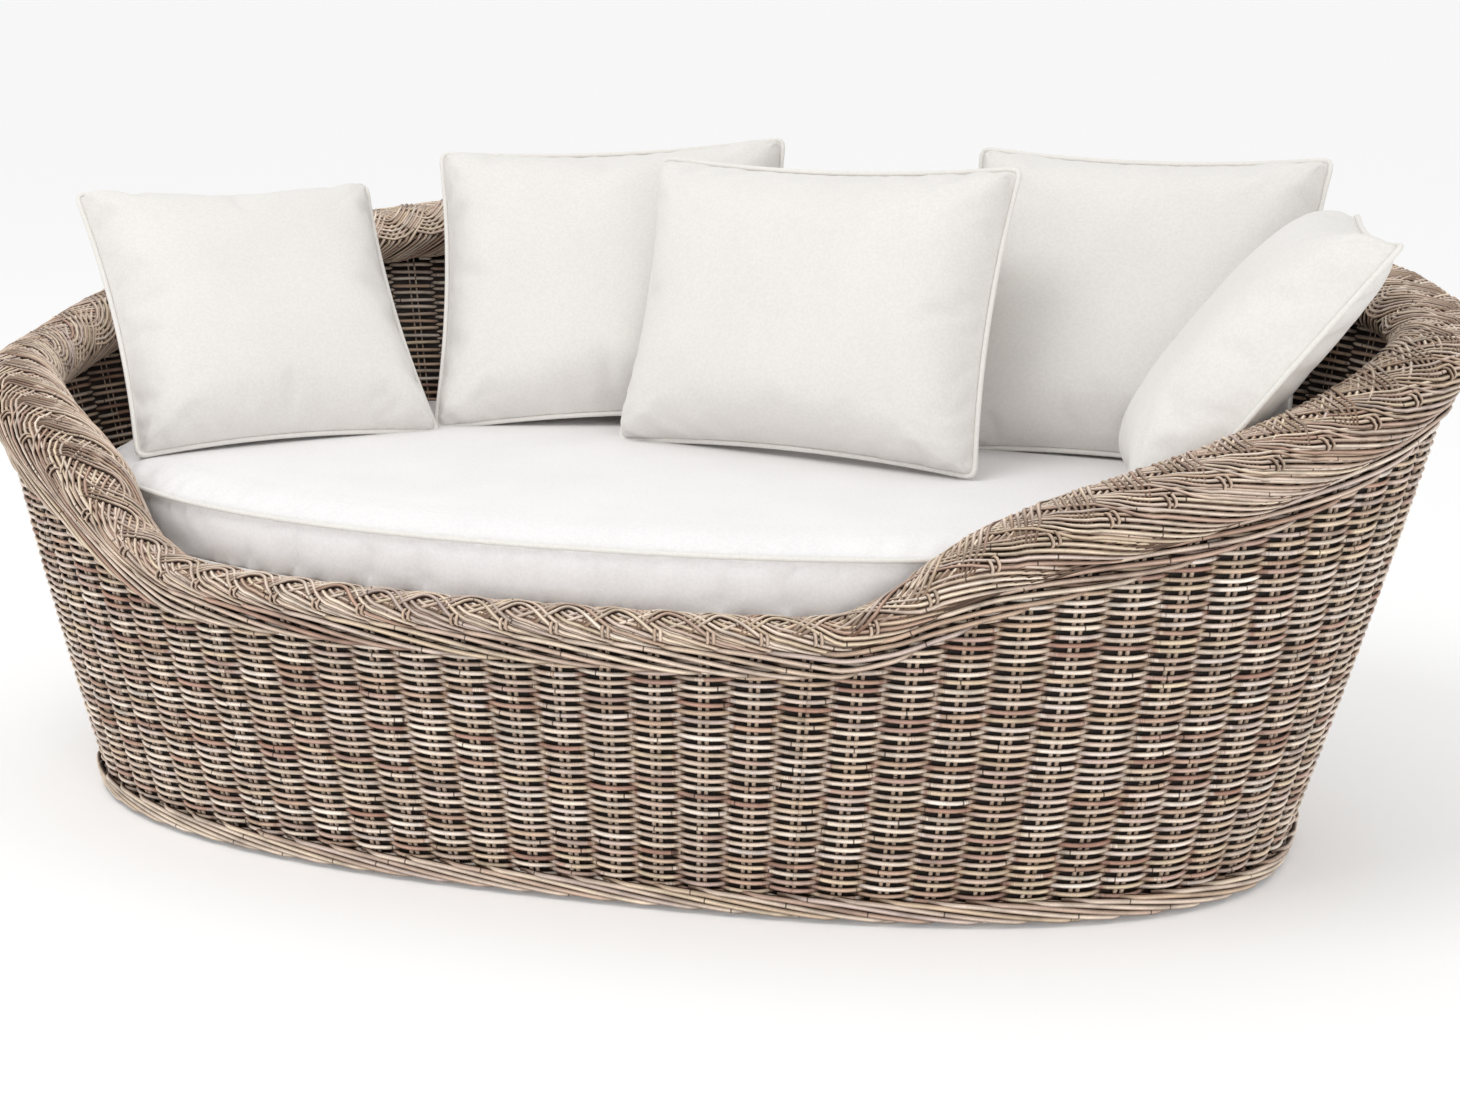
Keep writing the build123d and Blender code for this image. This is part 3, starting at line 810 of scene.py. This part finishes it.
def outer_bundle(made, number, growth):
    """Over the crest from the outer face, then back down that face under the next bundles."""
    rise, fall, tail = 0.85 + 0.70 * growth, 1.15 + 0.75 * growth, 1.6 + 1.5 * growth
    run = np.linspace(0, rise + fall + tail, outer_steps)
    line = braid_line(run, 0.20, 0.52 + 0.10 * growth, 0.25, 0.015, rise, fall, tail)
    lifts = (-0.005, 0.001, 0.0042, 0.0018, -0.002, -0.006)
    lift = np.interp(run, [0, 0.3, 0.7 * rise, rise + 0.4, rise + fall, run[-1]], lifts)
    spread = 0.4 + 0.6 * smooth(run / 0.5)
    bundle(made, number - 0.5 + run, line, lift, cane_count(growth), outer_spacing * spread)


def inner_bundle(made, number, growth):
    """From under the outer bundles over the crest, then down the inner face to the heel."""
    run = np.linspace(0, 2.4 + 0.9 * growth, inner_steps)
    way_down = run / run[-1]
    lifts = (-0.004, 0.0012, 0.0022, 0.0008, -0.005)
    lift = np.interp(way_down, [0, 0.3, 0.5, 0.85, 1], lifts)
    line = 0.36 + 0.61 * way_down**1.35
    bundle(made, number + run, line, lift, cane_count(growth), inner_spacing)


def stake_heads(heads, number, growth):
    """The heads of a pair of stakes, which show between the bundles."""
    across = np.linspace(-1, 1, head_steps)
    middle, half_length = 0.20 + 0.04 * growth, 0.0065 + 0.002 * growth
    for hand in (-1, 1):
        at = np.full(head_steps, number + 0.1 + hand * head_spread / stake_pitch)
        v = middle + across * half_length / roll_length(number)
        point, way = roll_point(at, v, 0.0022 - 0.0065 * across**4)
        # Painted shade beside the side of each head that shows
        heads.add(point, way, head_radius, rng.uniform(), groove=head_groove_shade)


def hollow_canes(made, first, last):
    """Canes along the roll, which show in the hollows between the bundles."""
    along = np.linspace(first, last, (last - first) * 5 + 1)
    for v in hollow_cane_places:
        sway = 0.012 * np.sin(along * 1.9 + 40 * v)
        depth = hollow_inner_depth if v > hollow_outer_end else hollow_outer_depth
        lift = 0.0006 * np.sin(along * 2.7 + 25 * v) - depth
        point, way = roll_point(along, v + sway, lift)
        # Painted shade, darker the deeper the cane lies
        shade = hollow_shade_rate * (depth - hollow_lit_depth) + 0 * along
        made.add(point, way, rim_cane_radius, rng.uniform(), shade=shade, groove=rim_groove_shade)


def rim_shade_filling(side, first, last):
    """A dark filling inside the roll, painted shade that makes the gaps between its canes look deep.
    """
    stakes = np.arange(first * 3, last * 3 + 1) / 3
    v = np.concatenate([np.linspace(0, 1, 25), [0]])
    grid_stakes, grid_v = np.meshgrid(stakes, v, indexing="ij")
    points, _ = roll_point(grid_stakes, grid_v, np.full(grid_v.shape, -rim_shade_filling_depth))
    shade_sheet = grid_mesh(f"rim_shade_filling_{side}", points)
    finish_piece(f"rim_shade_filling_{side}", shade_sheet, shade_sheet_material, "shell", "braid")


for side, (first, last) in stake_spans.items():
    made, heads = Strands(), Strands()
    for number in range(first, last):
        # The larger of the roll's sizes here and where the bundle goes, from 0 in front to 1
        growth = max(float(rolled(turn_at(number + ahead), (0.0, 1.0))) for ahead in (0, 3))
        outer_bundle(made, number, growth)
        inner_bundle(made, number, growth)
        stake_heads(heads, number, growth)
    hollow_canes(made, first, last)
    made.piece(f"rim_braid_{side}", braid_cane, "shell", "braid", f"rolled_rim_{side}")
    heads.piece(f"stake_heads_{side}", stake_cane, "shell", "weave")
    rim_shade_filling(side, first, last)


# Soft parts


def even_out(mesh):
    """Turns every face of a closed mesh outwards."""
    made = bmesh.new()
    made.from_mesh(mesh)
    bmesh.ops.recalc_face_normals(made, faces=made.faces)
    made.to_mesh(mesh)
    made.free()


def read_points(mesh):
    points = np.zeros(len(mesh.vertices) * 3)
    mesh.vertices.foreach_get("co", points)
    return points.reshape(-1, 3)


def write_points(mesh, points):
    mesh.vertices.foreach_set("co", points.ravel())
    mesh.update()


def swell(piece, cap, pinned, voxel=None):
    """Blows a cushion up a little with cloth, by no more than cap, held where pinned says so."""
    bpy.context.view_layer.objects.active = piece
    if voxel:
        remesh = piece.modifiers.new("remesh", "REMESH")
        remesh.mode = "VOXEL"
        remesh.voxel_size = voxel
        remesh.use_smooth_shade = True
        bpy.ops.object.modifier_apply(modifier="remesh")
    rest = read_points(piece.data)
    group = piece.vertex_groups.new(name="seam")
    for index in np.flatnonzero(pinned(rest)):
        group.add([int(index)], 1.0, "REPLACE")
    cloth = piece.modifiers.new("cloth", "CLOTH")
    settings = cloth.settings
    settings.quality = 4
    settings.mass = 0.3
    settings.tension_stiffness = 12
    settings.compression_stiffness = 12
    settings.bending_stiffness = 0.25
    settings.use_pressure = True
    settings.uniform_pressure_force = 4
    settings.shrink_min = -0.025
    settings.vertex_group_mass = "seam"
    settings.effector_weights.gravity = 0
    cloth.point_cache.frame_end = cloth_frames
    for number in range(1, cloth_frames + 1):
        bpy.context.scene.frame_set(number)
    shown = piece.evaluated_get(bpy.context.evaluated_depsgraph_get())
    moved = read_points(shown.data) - rest
    far = np.linalg.norm(moved, axis=1, keepdims=True)
    moved *= cap * np.tanh(far / cap) / np.maximum(far, 1e-9)
    piece.modifiers.remove(cloth)
    piece.vertex_groups.clear()
    write_points(piece.data, rest + moved)
    bpy.context.scene.frame_set(1)


def superoval(half_length, half_depth, power, angle):
    """Level outline between an ellipse, at power 2, and a rectangle."""
    c, s = np.cos(angle), np.sin(angle)
    radius = (np.abs(c / half_length) ** power + np.abs(s / half_depth) ** power) ** (-1 / power)
    return radius * c, radius * s


def piping_piece(name, path, out, body, node):
    """Closed cord sewn along a seam."""
    made = Strands(ring=10)
    made.add(path, out, piping_radius, 0.5, closed=True)
    made.piece(name, piping_cloth, body, "piping", node)


# The seat cushion
cushion_level = deck_height + soft_gap

# Its layers, from the underside up: height above the underside and share of the outline
cushion_layers = [
    (0.0, 0.5), (0.0, 0.9), (0.0, 0.99), (0.004, 1.0), (0.02, 1.0), (0.04, 1.0), (0.06, 1.0),
    (0.076, 1.0), (0.080, 0.997), (0.0865, 0.985), (0.0905, 0.955), (0.0925, 0.90),
    (0.0935, 0.8), (0.094, 0.6), (0.094, 0.3),
]


def side_draw(level):
    """How far the cushion's side pulls in between its seams."""
    return 4 * cushion_draw * level * (cushion_edge - level) / cushion_edge**2


angle = np.linspace(-np.pi, np.pi, cushion_steps + 1)[:-1]
rings = []
for level, outline in cushion_layers:
    draw = side_draw(level) if level <= cushion_edge else 0
    inset = draw + (1 - outline) * cushion_half_depth
    x, y = superoval(cushion_half_length - inset, cushion_half_depth - inset, cushion_power, angle)
    rings.append(np.stack([x, y, 0 * x + cushion_level + level], -1))
mesh = grid_mesh("seat_cushion_wrap", np.stack(rings, 1), closed=True)
layer_count = len(cushion_layers)
underside = list(range(0, len(angle) * layer_count, layer_count))
top_side = list(range(layer_count - 1, len(angle) * layer_count, layer_count))[::-1]
cushion_faces = [tuple(p.vertices) for p in mesh.polygons] + [underside, top_side]
cushion_mesh = bpy.data.meshes.new("seat_cushion_cover")
cushion_mesh.from_pydata([tuple(v.co) for v in mesh.vertices], [], cushion_faces)
cushion_mesh.update()
even_out(cushion_mesh)
smooth_faces(cushion_mesh)
bpy.data.meshes.remove(mesh)
seat = link_object("seat_cushion_cover", cushion_mesh)


def cushion_seams(points):
    """Where the cushion is held: its underside and its upper seam."""
    level = points[:, 2] - cushion_level
    x = np.abs(points[:, 0]) / cushion_half_length
    y = np.abs(points[:, 1]) / cushion_half_depth
    rim = (x**cushion_power + y**cushion_power) > 0.965
    return (level < seam_reach) | (rim & (np.abs(level - cushion_edge) < seam_reach))


swell(seat, cushion_swell, cushion_seams, voxel=cushion_voxel)
seat.data.materials.append(seat_cloth)
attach(seat, "seat")
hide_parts("seat_cushion")
for name, level, inset in (
    ("seat_piping_bottom", piping_radius, side_draw(piping_radius) - piping_radius - soft_gap),
    ("seat_piping_top", cushion_edge, -piping_radius - soft_gap),
):
    around = np.linspace(-np.pi, np.pi, cord_steps + 1)[:-1]
    x, y = superoval(cushion_half_length - inset, cushion_half_depth - inset, cushion_power, around)
    path = np.stack([x, y, 0 * x + cushion_level + level], -1)
    out = np.stack([np.cos(around), np.sin(around), 0 * around], -1)
    piping_piece(f"{name}_cord", path, out, "seat", name)


# The pillows


def bowed_square(x, y, half_width, half_height):
    """A square's grid numbers from -1 to 1 taken to a pillow outline with bowed-in sides."""
    across = x * (half_width - pillow_draw * (1 - y * y))
    return across, y * (half_height - pillow_draw * (1 - x * x))


def pillow_rise(x, y):
    """Share of a pillow's thickness at a grid place."""
    widest = np.maximum(np.abs(x), np.abs(y))
    power = 2.6 + 30.0 * widest**8
    size = (np.abs(x) ** power + np.abs(y) ** power) ** (1 / power)
    return np.sqrt(np.clip(1 - size**4, 0, 1)) + 0.03 * (1 - widest**8)


def gather(piece, origin, across, upwards, facing, half_sizes):
    """Small creases that run inwards from the seam, deepest near the corners."""
    points = read_points(piece.data)
    local = points - origin
    x, y = local @ across / half_sizes[0], local @ upwards / half_sizes[1]
    off_seam = local @ facing
    widest = np.clip(np.maximum(np.abs(x), np.abs(y)), 0, 1)
    along = np.where(np.abs(x) > np.abs(y), y, x)
    side = np.where(np.abs(x) > np.abs(y), np.sign(x), 2 * np.sign(y))
    side = side + 0.5 * np.sign(off_seam)
    wave = np.sin(31 * along + 2.5 * np.sin(6 * along + 3 * side) + 11 * side)
    weight = widest**7 * (1 - widest**26) * (0.35 + 0.65 * np.abs(along) ** 1.5)
    clear = np.clip(np.abs(off_seam) / 0.01, 0, 1)
    depth = gather_depth * weight * clear * (wave - 1.0)
    write_points(piece.data, points + (depth * np.sign(off_seam))[:, None] * facing)


def pillow_outline(half_width, half_height):
    """Points round the seam: four bowed sides with small round corners."""
    side = np.linspace(-1, 1, pillow_side_steps, endpoint=False)
    ones = np.ones(len(side))
    x = np.concatenate([side, ones, -side, -ones])
    y = np.concatenate([-ones, side, ones, -side])
    px, py = bowed_square(x, y, half_width, half_height)
    line = np.stack([px, py], -1)
    for _ in range(3):
        line = (np.roll(line, 1, 0) + 2 * line + np.roll(line, -1, 0)) / 4
    return line


# Each pillow stands on its cord's lowest point, turned about Z, leant back and tipped sideways
for name, (width, height, front, back, place, stance) in pillows.items():
    turned, leant, tipped = (math.radians(a) for a in stance)
    level = np.array([math.cos(turned), math.sin(turned), 0.0])
    behind = np.array([-math.sin(turned), math.cos(turned), 0.0])
    rising = np.array([0.0, 0.0, 1.0]) * math.cos(leant) + behind * math.sin(leant)
    across = level * math.cos(tipped) + rising * math.sin(tipped)
    upwards = rising * math.cos(tipped) - level * math.sin(tipped)
    facing = np.cross(across, upwards)
    origin = np.array([place[0], place[1], 0.0]) + upwards * height / 2
    outline = pillow_outline(width / 2 + piping_stand_off, height / 2 + piping_stand_off)
    loop = origin + outline[:, :1] * across + outline[:, 1:] * upwards
    low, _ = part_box(f"{name}_piping")
    origin = origin + np.array([0.0, 0.0, low.z + piping_radius - loop[:, 2].min()])
    loop = origin + outline[:, :1] * across + outline[:, 1:] * upwards

    count = pillow_grid
    grid = np.sin(np.linspace(-1, 1, count) * np.pi / 2)
    gx, gy = np.meshgrid(grid, grid, indexing="ij")
    px, py = bowed_square(gx, gy, width / 2, height / 2)
    rise = pillow_rise(gx, gy)
    share = start_share
    level_grid = origin + px[..., None] * across + py[..., None] * upwards
    halves = [level_grid + (size * share * rise)[..., None] * facing for size in (front, -back)]
    points = np.concatenate([half.reshape(-1, 3) for half in halves])
    a = (np.arange(count - 1)[:, None] * count + np.arange(count - 1)[None]).ravel()
    quads = np.stack([a, a + count, a + count + 1, a + 1], -1)
    faces = np.concatenate([quads, quads[:, ::-1] + count * count])
    mesh = bpy.data.meshes.new(f"{name}_cover")
    mesh.from_pydata(points.tolist(), [], faces.tolist())
    mesh.update()
    smooth_faces(mesh)
    piece = link_object(f"{name}_cover", mesh)
    bpy.context.view_layer.objects.active = piece
    weld = piece.modifiers.new("weld", "WELD")
    weld.merge_threshold = 0.0002
    bpy.ops.object.modifier_apply(modifier="weld")

    def seam_line(points):
        """Where the pillow is held: along its seam."""
        local = points - origin
        x = np.abs(local @ across) / (width / 2)
        y = np.abs(local @ upwards) / (height / 2)
        return (np.abs(local @ facing) < 0.002) & (np.maximum(x, y) > 0.9)

    swell(piece, pillow_swell, seam_line)
    finer = piece.modifiers.new("finer", "SUBSURF")
    finer.levels = 1
    bpy.ops.object.modifier_apply(modifier="finer")
    gather(piece, origin, across, upwards, facing, (width / 2, height / 2))
    piece.data.materials.append(shaded_pillow_cloth)
    body = pillow_bodies[name]
    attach(piece, body)
    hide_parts(name)
    out = np.repeat(facing[None], len(loop), 0)
    piping_piece(f"{name}_cord", loop, out, body, f"{name}_piping")


# Finishes of the CAD pieces that stay
kept = {
    "seat_hoop_front": pole_wood, "seat_hoop_back": pole_wood, "base_hoop_front": pole_wood,
    "base_hoop_back": pole_wood, "upright_posts": pole_wood, "centre_rail": timber_wood,
    "floor_stretchers": timber_wood, "middle_legs": timber_wood, "deck_slats": timber_wood,
    "floor_glides": glide_rubber,
}
for name, material in kept.items():
    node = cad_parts[name]
    if not node.material_slots:
        node.data.materials.append(material)
    for slot in node.material_slots:
        slot.material = material


# Floor, light and camera
floor_half = 400.0
floor_corners = [
    (-floor_half, -floor_half, 0), (floor_half, -floor_half, 0),
    (floor_half, floor_half, 0), (-floor_half, floor_half, 0),
]
floor_mesh = bpy.data.meshes.new("floor")
floor_mesh.from_pydata(floor_corners, [], [(0, 1, 2, 3)])
floor = link_object("floor", floor_mesh)
floor_shader = Shader("pale_floor")
floor_shader.surface.inputs["Base Color"].default_value = grey(0.9)
floor_shader.surface.inputs["Roughness"].default_value = 0.9
floor_shader.surface.inputs["Emission Color"].default_value = grey(1.0)
floor_shader.surface.inputs["Emission Strength"].default_value = 0.16
floor_mesh.materials.append(floor_shader.material)

world = bpy.data.worlds.new("studio")
bpy.context.scene.world = world
world.use_nodes = True
backdrop = world.node_tree.nodes["Background"]
backdrop.inputs["Color"].default_value = grey(1.0)
backdrop.inputs["Strength"].default_value = 0.85


def softbox(name, place, aim, size, power):
    """Rectangular studio light at a place, turned to what it aims at."""
    light = bpy.data.lights.new(name, "AREA")
    light.shape = "RECTANGLE"
    light.size, light.size_y = size
    light.energy = power
    lamp = link_object(name, light)
    lamp.location = place
    lamp.rotation_euler = (Vector(aim) - Vector(place)).to_track_quat("-Z", "Y").to_euler()


softbox("key", place=(-1.2, -1.9, 4.2), aim=(0, 0, 0.4), size=(2.4, 1.6), power=50)
softbox("fill", place=(2.2, -3.4, 1.3), aim=(0, 0, 0.4), size=(2.0, 2.0), power=15)

camera_data = bpy.data.cameras.new("camera")
camera_data.sensor_width = 36.0
camera_data.lens = camera_lens
camera = link_object("camera", camera_data)
camera.location = camera_place
forward = Vector((
    -math.sin(camera_turn) * math.cos(camera_tilt),
    math.cos(camera_turn) * math.cos(camera_tilt),
    -math.sin(camera_tilt),
))
camera.rotation_euler = forward.to_track_quat("-Z", "Y").to_euler()
bpy.context.scene.camera = camera
bpy.context.scene.view_settings.view_transform = "Standard"
